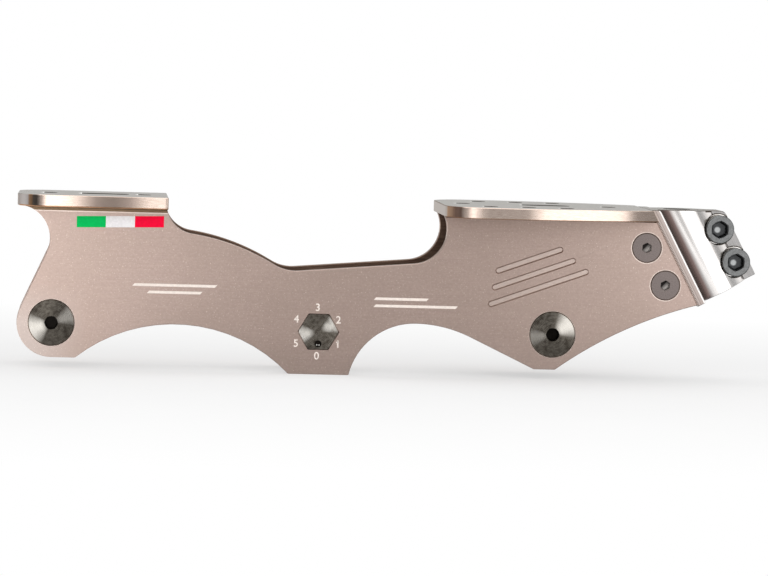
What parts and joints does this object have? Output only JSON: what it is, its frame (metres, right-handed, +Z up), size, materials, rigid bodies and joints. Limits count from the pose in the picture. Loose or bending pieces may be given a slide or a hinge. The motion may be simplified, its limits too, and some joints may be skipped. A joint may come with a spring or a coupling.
{
  "type": "inline skate frame",
  "caption": "Inline figure skate frame: walls under heel and sole platforms, removable axles, an eccentric middle axle and a clamping toe stop holder.",
  "frame": {"origin": "centre of the sole bolt pattern, on the sole platform's top face", "axes": "+X to the toe along the frame, +Y to the far side, +Z up out of the platforms"},
  "size_m": [0.2537, 0.072, 0.0589],
  "materials": {
    "champagne_aluminium": "champagne anodised, fine brushed grain along the frame",
    "polished_aluminium": "polished, champagne tint",
    "turned_steel": "turned, gunmetal",
    "grey_steel": "grey, zinc",
    "black_steel": "dark grey, oiled"
  },
  "bodies": {
    "frame": {"frame_body": "champagne_aluminium", "toe_stop_holder": "polished_aluminium", "holder_screw_near_upper": "grey_steel", "holder_screw_near_lower": "grey_steel", "holder_screw_far_upper": "grey_steel", "holder_screw_far_lower": "grey_steel"},
    "rear_axle_sleeve": {"rear_axle_sleeve": "turned_steel"},
    "rear_axle_screw": {"rear_axle_screw": "turned_steel"},
    "front_axle_sleeve": {"front_axle_sleeve": "turned_steel"},
    "front_axle_screw": {"front_axle_screw": "turned_steel"},
    "middle_axle": {"middle_axle": "turned_steel"},
    "middle_axle_insert": {"middle_axle_insert": "turned_steel"},
    "middle_axle_screw": {"middle_axle_screw": "black_steel"},
    "clamp_screw_upper": {"clamp_screw_upper": "black_steel"},
    "clamp_screw_lower": {"clamp_screw_lower": "black_steel"}
  },
  "joints": [
    {"name": "rear_axle_pull", "type": "slide", "parent": "frame", "child": "rear_axle_sleeve", "axis": [0, -1, 0], "range_m": [0, 0.026]},
    {"name": "rear_screw_out", "type": "slide", "parent": "frame", "child": "rear_axle_screw", "axis": [0, 1, 0], "range_m": [0, 0.012]},
    {"name": "front_axle_pull", "type": "slide", "parent": "frame", "child": "front_axle_sleeve", "axis": [0, -1, 0], "range_m": [0, 0.026]},
    {"name": "front_screw_out", "type": "slide", "parent": "frame", "child": "front_axle_screw", "axis": [0, 1, 0], "range_m": [0, 0.012]},
    {"name": "middle_axle_pull", "type": "slide", "parent": "frame", "child": "middle_axle", "axis": [0, -1, 0], "range_m": [0, 0.024]},
    {"name": "middle_insert_out", "type": "slide", "parent": "frame", "child": "middle_axle_insert", "axis": [0, 1, 0], "range_m": [0, 0.004]},
    {"name": "middle_screw_out", "type": "slide", "parent": "middle_axle_insert", "child": "middle_axle_screw", "axis": [0, 1, 0], "range_m": [0, 0.009]},
    {"name": "clamp_upper_turn", "type": "hinge", "parent": "frame", "child": "clamp_screw_upper", "pos_m": [0.06775, 0, -0.00627], "axis": [0, -1, 0], "range_deg": [0, 360]},
    {"name": "clamp_lower_turn", "type": "hinge", "parent": "frame", "child": "clamp_screw_lower", "pos_m": [0.07367, 0, -0.01739], "axis": [0, -1, 0], "range_deg": [0, 360]}
  ]
}
